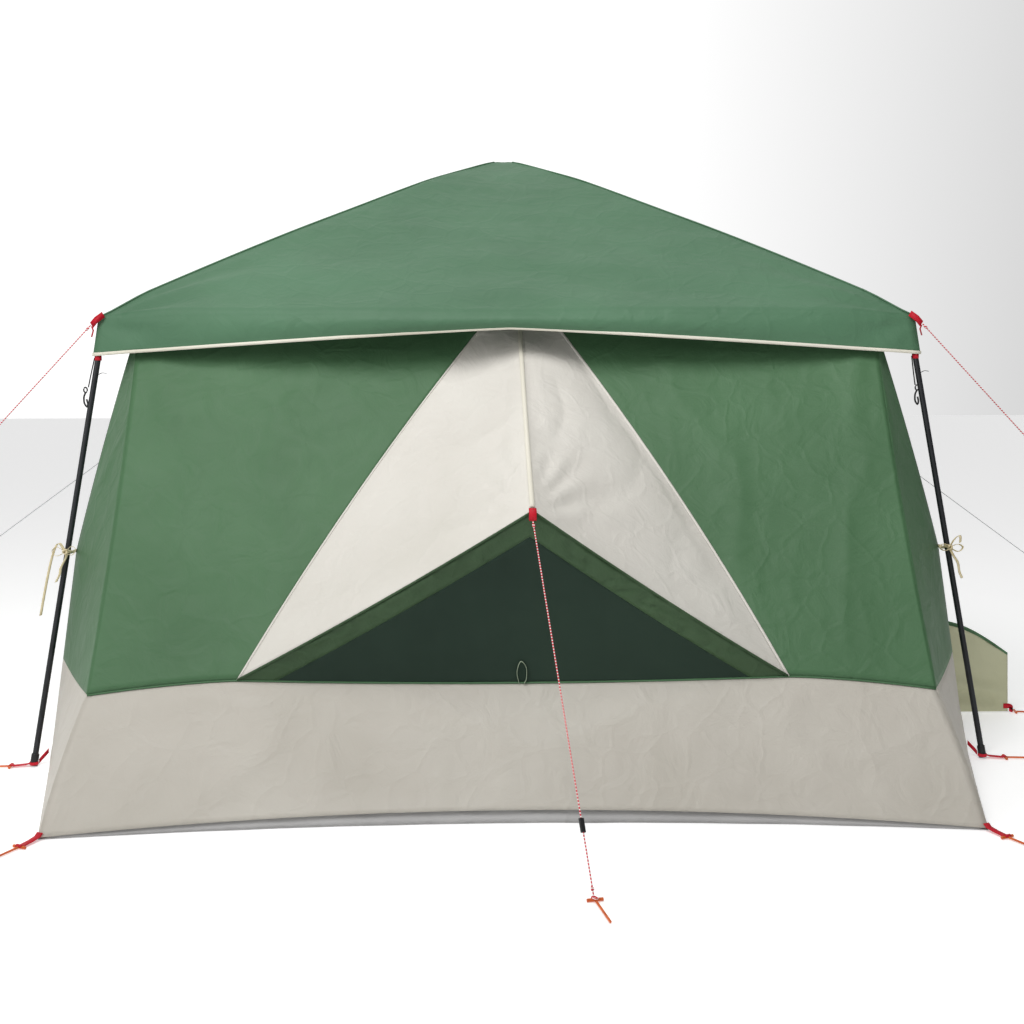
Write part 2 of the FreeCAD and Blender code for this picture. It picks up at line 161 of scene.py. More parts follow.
def add(material, kind, settings=None, **links):
    """Add a node, set its sockets and fields, and link sockets that are given as outputs."""
    node = material.node_tree.nodes.new(kind)
    for key, value in (settings or {}).items():
        if key in node.inputs:
            node.inputs[key].default_value = value
        else:
            setattr(node, key, value)
    for key, output in links.items():
        socket = node.inputs[int(key[1:])] if key[0] == "i" and key[1:].isdigit() else node.inputs[key]
        material.node_tree.links.new(output, socket)
    return node


def new_material(name, hex_colour, roughness, **sockets):
    """A Principled material whose even values sit on the shader's own sockets."""
    material = bpy.data.materials.new(name)
    material.use_nodes = True
    shader = material.node_tree.nodes["Principled BSDF"]
    shader.inputs["Base Color"].default_value = linear(hex_colour)
    shader.inputs["Roughness"].default_value = roughness
    for key, value in sockets.items():
        shader.inputs[key.replace("_", " ")].default_value = value
    return material, shader


def link(material, output, socket):
    material.node_tree.links.new(output, socket)


def ramp(material, fac, stops):
    """A colour ramp with the given (position, hex) stops."""
    node = add(material, "ShaderNodeValToRGB", Fac=fac)
    while len(node.color_ramp.elements) < len(stops):
        node.color_ramp.elements.new(0.5)
    for element, (position, hex_colour) in zip(node.color_ramp.elements, stops):
        element.position = position
        element.color = linear(hex_colour)
    return node.outputs["Color"]


def noise_texture(material, where, scale, detail, **more):
    """Fractal noise over the given coordinates."""
    return add(material, "ShaderNodeTexNoise", {"Scale": scale, "Detail": detail, **more}, Vector=where)


def bump(material, height, strength, distance, **links):
    """The surface normal, tilted by a height."""
    settings = {"Strength": strength, "Distance": distance}
    return add(material, "ShaderNodeBump", settings, Height=height, **links).outputs["Normal"]


def map_range(material, value, low, high, **span):
    """A value stretched to run from low to high."""
    settings = {"To Min": low, "To Max": high, **{key.replace("_", " "): end for key, end in span.items()}}
    return add(material, "ShaderNodeMapRange", settings, Value=value).outputs["Result"]


# %% [markdown]
# Tent cloth is plain-woven polyester with a polyurethane coat. The coat gives a soft even sheen,
# and the light picks out the soft creases left by packing. Its threads are a quarter of a
# millimetre apart, too fine to show from here, so the weave is drawn at two millimetres.

# %% Coated polyester cloth
WEAVE_PITCH = 0.002


def cloth_material(name, base, light, dark, roughness=0.55, crease=0.45, alpha=1.0, gloss=0.3):
    """Woven, coated polyester: patchy tone from the coat, packing creases and a fine weave."""
    material, shader = new_material(name, base, roughness, IOR=1.5, Specular_IOR_Level=gloss)
    where = add(material, "ShaderNodeTexCoord").outputs["Object"]
    patches = noise_texture(material, where, 1.3, 4.0, Roughness=0.55)
    tone = ramp(material, patches.outputs["Fac"], [(0.3, dark), (0.5, base), (0.72, light)])
    link(material, tone, shader.inputs["Base Color"])
    warp = noise_texture(material, where, 2.2, 3.0)
    bent = add(material, "ShaderNodeVectorMath", {"operation": "MULTIPLY_ADD"},
               i0=warp.outputs["Color"], i2=where)
    bent.inputs[1].default_value = (0.35, 0.35, 0.35)
    packed = add(material, "ShaderNodeTexVoronoi", {"Scale": 6.5, "feature": "DISTANCE_TO_EDGE"},
                 Vector=bent.outputs["Vector"])
    ridge_line = map_range(material, packed.outputs["Distance"], 1.0, 0.0, From_Max=0.10)
    folds = noise_texture(material, where, 7.0, 5.0, Distortion=1.6).outputs["Fac"]
    both = add(material, "ShaderNodeMath", {"operation": "MULTIPLY_ADD"}, i0=ridge_line, i2=folds)
    both.inputs[1].default_value = 0.16
    creases = bump(material, both.outputs[0], crease, 0.012)
    weave = add(material, "ShaderNodeTexWave",
                {"Scale": 1 / WEAVE_PITCH / 6.3, "bands_direction": "DIAGONAL"}, Vector=where)
    threads = bump(material, weave.outputs["Fac"], 0.06, 0.0004, Normal=creases)
    link(material, threads, shader.inputs["Normal"])
    worn = map_range(material, folds, roughness - 0.08, roughness + 0.1)
    link(material, worn, shader.inputs["Roughness"])
    shader.inputs["Alpha"].default_value = alpha
    return material


ROOF_GREEN = cloth_material("coated_polyester_roof_green", "4f7458", "537a5d", "4a6e53")
WALL_GREEN = cloth_material("coated_polyester_wall_green", "4a6e4c", "4f7451", "456847")
# The band's green is the wall green painted darker: painted shade under the hood, where the band faces down.
BAND_GREEN_PAINTED_SHADE = cloth_material("coated_polyester_green_painted_shade_band", "385034", "40593b", "31472d", 0.6, 0.7)
CREAM = cloth_material("coated_polyester_cream", "d8d4cc", "dcd9d1", "d1cdc4", 0.5, 0.45)
# The mud walls are the same cream cloth as the hood, painted darker: painted shade low on the walls.
CREAM_PAINTED_SHADE_LOW = cloth_material("coated_polyester_cream_painted_shade_low", "bdb8ae", "c3bfb5", "b5b0a5", 0.5, 0.5)
# The flap's cream is painted darker and greener than the walls' cream: painted shade on the flap.
CREAM_PAINTED_SHADE_FLAP = cloth_material("coated_polyester_cream_painted_shade_flap", "bbbb9b", "c2c2a4", "b0b091", 0.5, 0.5)
GREY_SHEET = cloth_material("laminated_polyethylene_grey", "b2b1b0", "bab9b8", "a8a7a6", 0.45)
MESH = cloth_material("knitted_insect_mesh", "29382f", "2d3d33", "243129", 0.8, 0.1, 0.96, 0.15)
BINDING = cloth_material("woven_polyester_binding", "dedacb", "e6e2d5", "d2cdbc", 0.7, 0.1)
RIBBON = cloth_material("woven_cotton_ribbon", "ded0ac", "e8dcbe", "cdbd94", 0.8, 0.1)
RED_WEBBING = cloth_material("woven_polypropylene_red", "c10f26", "cf1a32", "a90c20", 0.6, 0.1)
GREEN_RIBBON = cloth_material("woven_ribbon_grey_green", "8d9c84", "a0ae97", "78876f", 0.75, 0.1)

# %% [markdown]
# The legs are steel tube with a black powder coat, which is faintly grained like orange peel.
# The elbows, hub and feet are moulded plastic. The pegs have an orange enamel, and the guy
# ropes are braided: red with white flecks at the front, plain grey at the back.


# %% Hard finishes and rope
def grained_material(name, base, dark, roughness, grain_mm, metallic=0.0, strength=0.2):
    """A coat or moulding with a fine grain and slightly uneven gloss."""
    material, shader = new_material(name, base, roughness, Metallic=metallic)
    where = add(material, "ShaderNodeTexCoord").outputs["Object"]
    grain = noise_texture(material, where, 1000 / grain_mm, 3.0).outputs["Fac"]
    wear = noise_texture(material, where, 14.0, 5.0).outputs["Fac"]
    link(material, ramp(material, wear, [(0.35, dark), (0.65, base)]), shader.inputs["Base Color"])
    link(material, bump(material, grain, strength, 0.0003), shader.inputs["Normal"])
    gloss = map_range(material, wear, roughness - 0.07, roughness + 0.1)
    link(material, gloss, shader.inputs["Roughness"])
    return material


POWDER_COAT = grained_material("powder_coated_steel_black", "1d2024", "14161a", 0.42, 1.2)
MOULDED = grained_material("moulded_nylon_black", "17181a", "101113", 0.5, 0.8)
BARE_STEEL = grained_material("drawn_steel", "b9bbbd", "9a9c9f", 0.35, 0.5, 1.0, 0.1)
ORANGE = grained_material("enamelled_steel_orange", "dd6a26", "c2541a", 0.4, 1.5)
ZIP_ENAMEL = grained_material("enamelled_zinc_black", "202224", "151618", 0.38, 0.6)


def rope_material(name, base, fleck, flecks):
    """Braided cord: two crossing sets of strands, seen as slanting ridges and coloured flecks."""
    material, shader = new_material(name, base, 0.75, IOR=1.5)
    where = add(material, "ShaderNodeTexCoord").outputs["Object"]
    braid = add(material, "ShaderNodeTexVoronoi", {"Scale": 420.0}, Vector=where).outputs["Distance"]
    if flecks:
        strands = add(material, "ShaderNodeTexWave", {"Scale": 38.0, "bands_direction": "Z"}, Vector=where)
        tone = ramp(material, strands.outputs["Fac"], [(0.60, base), (0.74, fleck)])
    else:
        tone = ramp(material, braid, [(0.1, base), (0.7, fleck)])
    link(material, tone, shader.inputs["Base Color"])
    link(material, bump(material, braid, 0.5, 0.0006), shader.inputs["Normal"])
    return material


RED_ROPE = rope_material("braided_polyester_red", "cf1631", "f3e9e6", True)
GREY_ROPE = rope_material("braided_polyester_grey", "8e9092", "b8babc", False)


# %% [markdown]
# Each piece is a mesh made from points and faces, then given its body and its finish.
# Small helpers make the four forms that a tent is sewn from: a sheet stretched between four
# edges, a flat strip, a tube and a block with rounded edges.


# %% Making a piece
def make(name, verts, faces, material, slot, replaces=(), body="root"):
    """A smooth mesh piece that rides on a body."""
    mesh = bpy.data.meshes.new(name)
    mesh.from_pydata([tuple(v) for v in verts], [], faces)
    mesh.validate()
    mesh.update()
    mesh.polygons.foreach_set("use_smooth", [True] * len(mesh.polygons))
    piece = placed(name, mesh)
    mesh.materials.append(material)
    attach(piece, body)
    if replaces:
        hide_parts(*replaces)
    return piece


def thicken(piece, thickness):
    solid = piece.modifiers.new("thickness", "SOLIDIFY")
    solid.thickness = thickness
    solid.offset = 0.0
    solid.use_even_offset = False
    return piece


CLOTH = 0.0008


def cloth(piece):
    """Give a piece of cloth its thickness."""
    return thicken(piece, CLOTH)


def stretched(low, high, left, right, columns, rows, relief):
    """Points of a sheet held by four edge curves, with a relief along its own normal.

    low and high run left to right, left and right run upwards, each from 0 to 1.
    """
    grid = []
    for j in range(rows + 1):
        t = j / rows
        line = []
        for i in range(columns + 1):
            s = i / columns
            ruled = mix(low(s), high(s), t) + mix(left(t), right(t), s)
            corners = mix(mix(low(0), low(1), s), mix(high(0), high(1), s), t)
            line.append(ruled - corners)
        grid.append(line)
    across = (low(1) + high(1) - low(0) - high(0))
    upward = (left(1) + right(1) - left(0) - right(0))
    normal = across.cross(upward).normalized()
    for j, line in enumerate(grid):
        t = j / rows
        for i, point in enumerate(line):
            s = i / columns
            held = min(1.0, 7 * min(s, 1 - s, t, 1 - t))
            line[i] = point + normal * (relief(point, s, t) * held)
    return grid


def grid_faces(rows, columns, turned=False):
    """Quads over a grid of points that is stored row by row, turned over if asked."""
    wide = columns + 1
    corners = [j * wide + i for j in range(rows) for i in range(columns)]
    faces = [(c, c + 1, c + wide + 1, c + wide) for c in corners]
    return [face[::-1] for face in faces] if turned else faces


def flatten(grid):
    return [point for line in grid for point in line]


def circle(count, radius_x=1.0, radius_y=None):
    """Points round a flat circle or ellipse, with the first one again at the end."""
    radius_y = radius_x if radius_y is None else radius_y
    turns = [2 * math.pi * k / count for k in range(count + 1)]
    return [Vector((radius_x * math.cos(a), radius_y * math.sin(a), 0)) for a in turns]


def strip_mesh(points, side, width):
    """A flat strip along points, whose width runs along side."""
    verts = []
    for point in points:
        verts += [point - side * (width / 2), point, point + side * (width / 2)]
    return verts, grid_faces(len(points) - 1, 2)


def tube_mesh(points, radius, sides=8):
    """A round tube along points, its rings turned with the path."""
    verts, faces = [], []
    count = len(points)
    for index, point in enumerate(points):
        ahead = (points[min(index + 1, count - 1)] - points[max(index - 1, 0)]).normalized()
        helper = Vector((0, 0, 1)) if abs(ahead.z) < 0.9 else Vector((1, 0, 0))
        side = ahead.cross(helper).normalized()
        other = ahead.cross(side)
        for k in range(sides):
            angle = 2 * math.pi * k / sides
            verts.append(point + side * (radius * math.cos(angle)) + other * (radius * math.sin(angle)))
    for j in range(count - 1):
        for k in range(sides):
            k2 = (k + 1) % sides
            faces.append((j * sides + k, j * sides + k2, (j + 1) * sides + k2, (j + 1) * sides + k))
    faces.append(tuple(range(sides))[::-1])
    faces.append(tuple(range((count - 1) * sides, count * sides)))
    return verts, faces


def joined(parts):
    """Several (verts, faces) lists as one."""
    verts, faces = [], []
    for part_verts, part_faces in parts:
        base = len(verts)
        verts += part_verts
        faces += [tuple(base + i for i in face) for face in part_faces]
    return verts, faces


def wrinkles(scale, height, seed, stretch=(1.0, 1.0, 1.0)):
    """Soft creases that run across the direction in which the noise is stretched."""
    def relief(point, s, t):
        where = Vector((point.x * stretch[0], point.y * stretch[1], point.z * stretch[2])) * scale
        where.z += seed
        fold = 1 - abs(noise.noise(where)) * 2
        return height * (fold * fold * fold - 0.3)
    return relief

# %% [markdown]
# ## Guy ropes
# Four ropes hold the roof corners and one holds the window's hood. Each is pulled tight, so its
# route is one straight run from its tab down to its peg. The two points near the ends keep the
# run straight where the rope meets the tab and the knot.

# %% The guy ropes and their knots
ROPE = 0.0045
TAB_OUT, TAB_Z, PEG_LINE = 1.628, 1.690, 1.600
ROPES = {end + "_" + side: ((sx * TAB_OUT, sy * TAB_OUT, TAB_Z), (sx * peg_x, sy * PEG_LINE, 0.006))
         for end, sy, peg_x in (("front", -1, 3.25), ("back", 1, 3.95))
         for side, sx in LEFT_RIGHT}
ROPES["hood"] = ((0.062, -2.418, 1.0), (0.206, -3.155, 0.006))


def coil(start, ahead, turns, radius, pitch, thick):
    """A short round-turn of cord about a line, for a knot."""
    ahead = ahead.normalized()
    side = ahead.orthogonal().normalized()
    other = ahead.cross(side)
    angles = [2 * math.pi * k / 14 for k in range(int(turns * 14) + 1)]
    return tube_mesh([start + ahead * (pitch * a / (2 * math.pi)) + side * (radius * math.cos(a))
                      + other * (radius * math.sin(a)) for a in angles], thick)


for name, (start, end) in ROPES.items():
    first, last = Vector(start), Vector(end)
    run = (last - first).normalized()
    data = bpy.data.curves.new("guy_rope_" + name + "_line", "CURVE")
    data.dimensions = "3D"
    spline = data.splines.new("NURBS")
    route = [first, first + run * (6 * ROPE), last - run * (6 * ROPE), last]
    spline.points.add(len(route) - 1)
    for point, place in zip(spline.points, route):
        point.co = (*place, 1.0)
    spline.order_u = 3
    spline.use_endpoint_u = True
    data.bevel_depth = ROPE / 2
    data.bevel_resolution = 3
    data.use_fill_caps = True
    rope = placed("guy_rope_" + name + "_line", data)
    finish, rope_slot = (GREY_ROPE, "grey_rope") if name.startswith("back") else (RED_ROPE, "red_rope")
    data.materials.append(finish)
    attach(rope, "root")
    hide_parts("guy_rope_" + name)
    knots = [coil(place, run, turns, ROPE * 0.75, ROPE * 0.9, ROPE * 0.42)
             for place, turns in ((first + run * 0.012, 3), (last - run * 0.030, 2.5))]
    flat = Vector((run.x, run.y, 0)).normalized()
    cross = Vector((-flat.y, flat.x, 0))
    loop_middle = Vector((last.x, last.y, 0.0068)) + flat * 0.009
    loop = [loop_middle + flat * (0.017 * turn.x) + cross * (0.008 * turn.y)
            + UP * (0.0062 * smooth(1.4 * turn.x)) for turn in circle(24)]
    knots.append(tube_mesh(loop, ROPE * 0.45))
    knot = make("guy_rope_" + name + "_knots", *joined(knots), finish, rope_slot)

# %% [markdown]
# ## The roof
# Four triangles of cloth are sewn into a pyramid that turns down at the eave into a valance,
# with an arched hem. The ribs under the ridges bow up a little, so the cloth is fullest half way
# down, and the corner tabs pull creases across it. The whole roof is one continuous sheet here,
# with a rounded top, because that is how the light runs over it.

# %% The roof sheet
RIDGE_BOW, FACE_SAG, ROOF_COLUMNS, ROOF_ROWS, VALANCE_ROWS = 0.045, 0.030, 96, 60, 14
VALANCE_ARCH, TOP_ROUND, TOP_LIFT, CLEARANCE = 0.100, 0.040, 0.030, 0.012
CORNER_DROP, HEM_DROP = 0.018, 0.010


def corner_fan(across, down, folds):
    """Folds that fan out from the corner tab and fade within half a metre."""
    reach = math.hypot(across, down)
    wave = math.cos(folds * math.atan2(down, across + 0.015))
    return wave * math.exp(-(reach / 0.34) ** 2) * smooth(12 * reach)


def roof_front_point(u, v):
    """u runs across the front from -1 to 1; v from 0 at the apex to 1 at the eave, 2 at the hem."""
    if v <= 1:
        half = EAVE * v
        drop = (APEX_Z - EAVE_Z) * v
        height = APEX_Z + TOP_LIFT - math.hypot(drop, TOP_ROUND)
        height -= (TOP_LIFT - 0.001) * smooth(2 * v)
        height += RIDGE_BOW * math.sin(math.pi * v) * (1 - 0.25 * v) * smooth(4 * v)
        height -= FACE_SAG * math.sin(math.pi * v) * (1 - u * u)
        height -= CORNER_DROP * smooth((v - 0.90) / 0.10) * smooth((abs(u) - 0.80) / 0.20)
        point = Vector((half * u, -half, height + CLEARANCE))
        ripple = 1 - 2 * abs(noise.noise(Vector((point.x * 0.9, point.y * 4.2, 3.1))))
        long_fold = math.sin((point.y + 0.25 * abs(point.x)) * 21) * smooth(2 * v - 0.7) * (1 - 0.5 * abs(u))
        fan = corner_fan((1 - abs(u)) * EAVE, (1 - v) * EAVE, 9)
        edge = smooth(12 * (1 - abs(u)))
        point.z += (0.008 * ripple * smooth(4 * v) + 0.0035 * long_fold + 0.011 * fan) * edge
        return point
    fall = v - 1
    arch = VALANCE_ARCH * (1 - abs(u) ** 1.15)
    low = HEM_Z - HEM_DROP + arch
    half = mix(EAVE, VALANCE_HALF, fall)
    bulge = 0.018 * math.sin(math.pi * fall) * (1 - u * u) - 0.012 * (1 - u * u) * fall
    point = Vector((half * u, -half - bulge, mix(EAVE_Z + CLEARANCE, low, fall)))
    edge = smooth(10 * (1 - abs(u)))
    point.y += 0.007 * noise.noise(Vector((u * 7, fall * 1.6, 7.7))) * edge * fall
    point.y -= 0.010 * corner_fan((1 - abs(u)) * EAVE, 0.14 * fall, 8) * edge * smooth(3 * fall)
    point.z -= CORNER_DROP * (1 - fall) * smooth((abs(u) - 0.80) / 0.20)
    return point


def quarter_turn(point, turns):
    return Matrix.Rotation(turns * math.pi / 2, 3, "Z") @ point


roof_parts = []
roof_levels = [j / ROOF_ROWS for j in range(ROOF_ROWS + 1)]
roof_levels += [1 + j / VALANCE_ROWS for j in range(1, VALANCE_ROWS + 1)]
for turns in range(4):
    rows = [[quarter_turn(roof_front_point(2 * i / ROOF_COLUMNS - 1, v), turns)
             for i in range(ROOF_COLUMNS + 1)] for v in roof_levels]
    roof_parts.append((flatten(rows), grid_faces(len(roof_levels) - 1, ROOF_COLUMNS, True)))
SIDES = ("front", "right", "back", "left")
roof = make("roof_cloth", *joined(roof_parts), ROOF_GREEN, "roof_cloth",
            [part + side for part in ("roof_", "valance_") for side in SIDES])


def weld(piece, distance=0.0006):
    """Merge the points that two panels share, so that the cloth is one sheet."""
    mesh = bmesh.new()
    mesh.from_mesh(piece.data)
    bmesh.ops.remove_doubles(mesh, verts=mesh.verts, dist=distance)
    bmesh.ops.dissolve_degenerate(mesh, edges=mesh.edges, dist=1e-6)
    mesh.to_mesh(piece.data)
    mesh.free()
    return piece


cloth(weld(roof))

# %% [markdown]
# The valance's hem is bound with a cream tape, folded over the raw edge, and each ridge is a
# felled seam. Both are narrow strips that follow the sheet.


# %% The hem binding and the ridge seams
def band_along(name, rows, material, slot):
    """A doubled tape: a strip of the given rows of points, with its own thickness."""
    thicken(make(name, flatten(rows), grid_faces(len(rows) - 1, len(rows[0]) - 1), material, slot), 0.0024)


BINDING_DEEP = 0.013
for turns, side in enumerate(SIDES):
    hem = [roof_front_point(2 * i / ROOF_COLUMNS - 1, 2.0) for i in range(ROOF_COLUMNS + 1)]
    rows = [[quarter_turn(point + Vector((0, -0.0022, BINDING_DEEP * level - 0.004)), turns)
             for point in hem] for level in (0.0, 0.5, 1.0)]
    band_along("hem_binding_" + side, rows, BINDING, "cream_cloth")

    seam = [quarter_turn(roof_front_point(1.0, 0.03 + 0.97 * k / 40), turns) for k in range(41)]
    outward = quarter_turn(Vector((1, 1, 0)).normalized(), turns)
    felled = [[p + outward * step + UP * rise for p in seam]
              for step, rise in ((0.007, -0.0005), (0.0, 0.0024), (-0.007, -0.0005))]
    band_along("ridge_seam_" + side, felled, ROOF_GREEN, "roof_cloth")

# %% [markdown]
# ## The room's walls
# Each wall is a panel of cloth stretched between sewn edges, so it is made from its four edge
# curves. Neighbours share a curve, which keeps the seams closed. The creases that run up from
# the pegged corners curve inwards, because the cloth between them is pulled tight.

# %% Shared edges of the panels
CREASE_BOW, HOOD_SEAM_BOW = 0.012, 0.036


def crease(z):
    """The crease from the front right pegged corner up to the wall's top corner."""
    if z < CORNER_MUD:
        t = z / CORNER_MUD
        x = mix(PEG.x, CORNER_X, t) + 0.010 * bow(t)
        return Vector((x, mix(PEG.y, wall_y(x, z), smooth(12 * t)), z))
    t = (z - CORNER_MUD) / (TOP.z - CORNER_MUD)
    return on_wall(mix(CORNER_X, TOP.x, t) - CREASE_BOW * bow(t), z)


def side_edge(z):
    """The wall's edge beside the front right leg, drawn out to a point by its tie."""
    if z > TIE.z:
        t = (z - TIE.z) / (TOP.z - TIE.z)
        return mix(TIE, TOP, t) - Vector((-0.006, 0.006, 0)) * bow(t)
    return mix(SIDE, TIE, z / TIE.z)


def hood_seam(t, sx=1):
    """The seam beside the window's hood, from its foot up to the eave."""
    x = mix(sx * HOOD_BASE_X, HOOD_TOP_X[sx], t) + sx * HOOD_SEAM_BOW * bow(t)
    return on_wall(x, mix(seam_z(HOOD_BASE_X), TOP.z, t))


def seam(x):
    """The seam between green and cream at a distance from the middle."""
    return on_wall(x, seam_z(x))


def on_wall(x, z):
    return Vector((x, wall_y(x, z), z))


def mirrored(point, sx=1, sy=1):
    return Vector((point.x * sx, point.y * sy, point.z))


def panel(name, low, high, left, right, size, material, slot, replaces, relief, sides=((1, 1),)):
    """A cloth panel from four edges, made once for each (sx, sy) mirror and kept as one piece."""
    columns, rows = size
    parts = []
    for index, (sx, sy) in enumerate(sides):
        points = flatten(stretched(low, high, left, right, columns, rows, relief(index)))
        parts.append(([mirrored(p, sx, sy) for p in points], grid_faces(rows, columns, sx * sy < 0)))
    return make(name, *joined(parts), material, slot, replaces)


# %% The green walls
def wall_relief(seed, height=0.007, pull=0.0):
    """Slack wrinkles that slant down from the eave, and a diagonal fold at the outer top corner."""
    base = wrinkles(1.5, height, seed, (1.6, 1.0, 0.7))
    fine = wrinkles(5.0, height * 0.35, seed + 5, (1.3, 1.0, 0.5))

    def relief(point, s, t):
        fold = math.exp(-(((1 - s) - 0.35 * (1 - t) - 0.02) / 0.035) ** 2) * smooth(3 * t - 1.6)
        return base(point, s, t) + fine(point, s, t) + pull * fold
    return relief


def crease_up(t):
    return crease(mix(CORNER_MUD, TOP.z, t))


def crease_left(t):
    return mirrored(crease_up(t), -1)


def front_panel(side, sx):
    """One green panel of the front, between the hood's seam and the corner crease."""
    top_in = abs(HOOD_TOP_X[sx])
    wall = panel("wall_front_" + side + "_cloth", lambda s: seam(mix(HOOD_BASE_X, CORNER_X, s)),
                 lambda s: on_wall(mix(top_in, TOP.x, s), TOP.z),
                 lambda t: mirrored(hood_seam(t, sx), sx), crease_up, (64, 54),
                 WALL_GREEN, "wall_cloth", ["wall_front_" + side],
                 lambda i: wall_relief(3 + 4 * sx, 0.007, 0.010), ((sx, 1),))
    cloth(wall)


for side, sx in LEFT_RIGHT:
    front_panel(side, sx)


def back_low(s):
    return seam(mix(-1, 1, s) * CORNER_X)


def back_high(s):
    return on_wall(mix(-1, 1, s) * TOP.x, TOP.z)


back = panel("wall_back_cloth", back_low, back_high, crease_left, crease_up, (90, 46), WALL_GREEN,
             "wall_cloth", ["wall_back"], lambda i: wall_relief(21), ((1, -1),))
cloth(back)


def end(z, sign):
    """The front (1) or back (-1) edge of the right wall."""
    return mirrored(side_edge(z), 1, sign)


def side_wall(side, sx):
    wall = panel("wall_" + side + "_cloth", lambda s: mix(end(SIDE_MUD, 1), end(SIDE_MUD, -1), s),
                 lambda s: mix(end(TOP.z, 1), end(TOP.z, -1), s),
                 lambda t: end(mix(SIDE_MUD, TOP.z, t), 1), lambda t: end(mix(SIDE_MUD, TOP.z, t), -1),
                 (80, 44), WALL_GREEN, "wall_cloth", ["wall_" + side],
                 lambda i: wall_relief(31 + 7 * sx, 0.009), ((sx, 1),))
    cloth(wall)


for side, sx in LEFT_RIGHT:
    side_wall(side, sx)

QUARTERS = ((1, 1), (-1, 1), (1, -1), (-1, -1))


def gusset_low(s):
    """The gusset's lower seam, which bows down a little between crease and leg."""
    return mix(crease(CORNER_MUD), side_edge(SIDE_MUD), s) - UP * (0.012 * bow(s))


gusset = panel("corner_gusset_cloth", gusset_low, lambda s: TOP.copy(), crease_up,
               lambda t: side_edge(mix(SIDE_MUD, TOP.z, t)), (16, 66), WALL_GREEN, "wall_cloth",
               ["corner_gussets"], lambda i: wrinkles(3.0, 0.005, 40 + i, (1.5, 1.5, 0.5)), QUARTERS)
cloth(gusset)

# %% [markdown]
# The mud wall is a band of cream cloth from the green down to the ground. It is slack between
# the pegs, so slanting and upright wrinkles run across it. The groundsheet is a laminated
# polyethylene tray, whose edge turns up under the hem and shows as a grey line.

# %% The mud walls
HEM_LIFT, HEM_LOW = 0.034, 0.008


def hem_point(s):
    """The front hem, arched between the two pegged corners."""
    across = mix(-1, 1, s)
    x = across * PEG.x
    rise = 1 - across ** 2
    return Vector((x, wall_y(x, 0.0) + 0.012 * rise, HEM_LOW + HEM_LIFT * rise))


def crease_low(t):
    return crease(mix(HEM_LOW, CORNER_MUD, t))


def mud_relief(seed, height=0.009):
    """Slack cloth: upright wrinkles from the hem and slanting ones from the corners."""
    upright = wrinkles(2.6, height * 0.6, seed, (1.9, 0.5, 0.45))
    slanting = wrinkles(1.7, height, seed + 9, (0.8, 0.6, 1.9))

    def relief(point, s, t):
        tilted = Vector((point.x + 1.1 * point.z, point.y, point.z - 0.35 * point.x))
        return upright(point, s, t) * (1.2 - t) + slanting(tilted, s, t)
    return relief


# The mud walls take the cream with painted shade.
for side, sy in (("front", 1), ("back", -1)):
    mud = panel("mudwall_" + side + "_cloth", hem_point, back_low, lambda t: mirrored(crease_low(t), -1),
                crease_low, (120, 26), CREAM_PAINTED_SHADE_LOW, "cream_cloth", ["mudwall_" + side],
                lambda i: mud_relief(50 + 3 * sy), ((1, sy),))
    cloth(mud)


def side_low(t):
    return side_edge(mix(HEM_LOW, SIDE_MUD, t))


# The low corner gussets take the cream with painted shade.
low_gusset = panel("corner_mudwall_cloth", lambda s: mix(crease_low(0), side_low(0), s),
                   gusset_low, crease_low, side_low, (20, 20), CREAM_PAINTED_SHADE_LOW, "cream_cloth",
                   ["corner_mudwalls"], lambda i: wrinkles(3.2, 0.005, 60 + i, (1.4, 1.4, 0.6)),
                   QUARTERS)
cloth(low_gusset)


def side_strip(y, z):
    return Vector((side_edge(z).x, y, z))


def side_mud(name, front_y, rear_y, sx, columns, replaces):
    """A side mud wall between two Y stations; the end stations follow the corner edges."""
    def at(y, z):
        return side_strip(y, z) if abs(y) < -SIDE.y else end(z, -math.copysign(1, y))
    # The side mud walls take the cream with painted shade.
    piece = panel(name, lambda s: mix(at(front_y, HEM_LOW), at(rear_y, HEM_LOW), s),
                  lambda s: mix(at(front_y, SIDE_MUD), at(rear_y, SIDE_MUD), s),
                  lambda t: at(front_y, mix(HEM_LOW, SIDE_MUD, t)),
                  lambda t: at(rear_y, mix(HEM_LOW, SIDE_MUD, t)), (columns, 18), CREAM_PAINTED_SHADE_LOW,
                  "cream_cloth", replaces, lambda i: mud_relief(70 + columns, 0.007), ((sx, 1),))
    return cloth(piece)


OPENING_FRONT, OPENING_REAR = -1.180, -0.797
side_mud("mudwall_left_cloth", -1.8, 1.8, -1, 84, ["mudwall_left"])
side_mud("mudwall_right_ahead", -1.8, OPENING_FRONT, 1, 22, ["mudwall_right"])
side_mud("mudwall_right_behind", OPENING_REAR, 1.8, 1, 60, ["mudwall_right"])


# %% The groundsheet
def ground_half(x):
    """Half the groundsheet's length at a distance from its middle line."""
    if abs(x) <= PEG.x:
        return CENTRE_Y + HOLLOW * (x / PEG.x) ** 2
    return mix(-PEG.y, -SIDE.y, (abs(x) - PEG.x) / (SIDE_X - PEG.x))


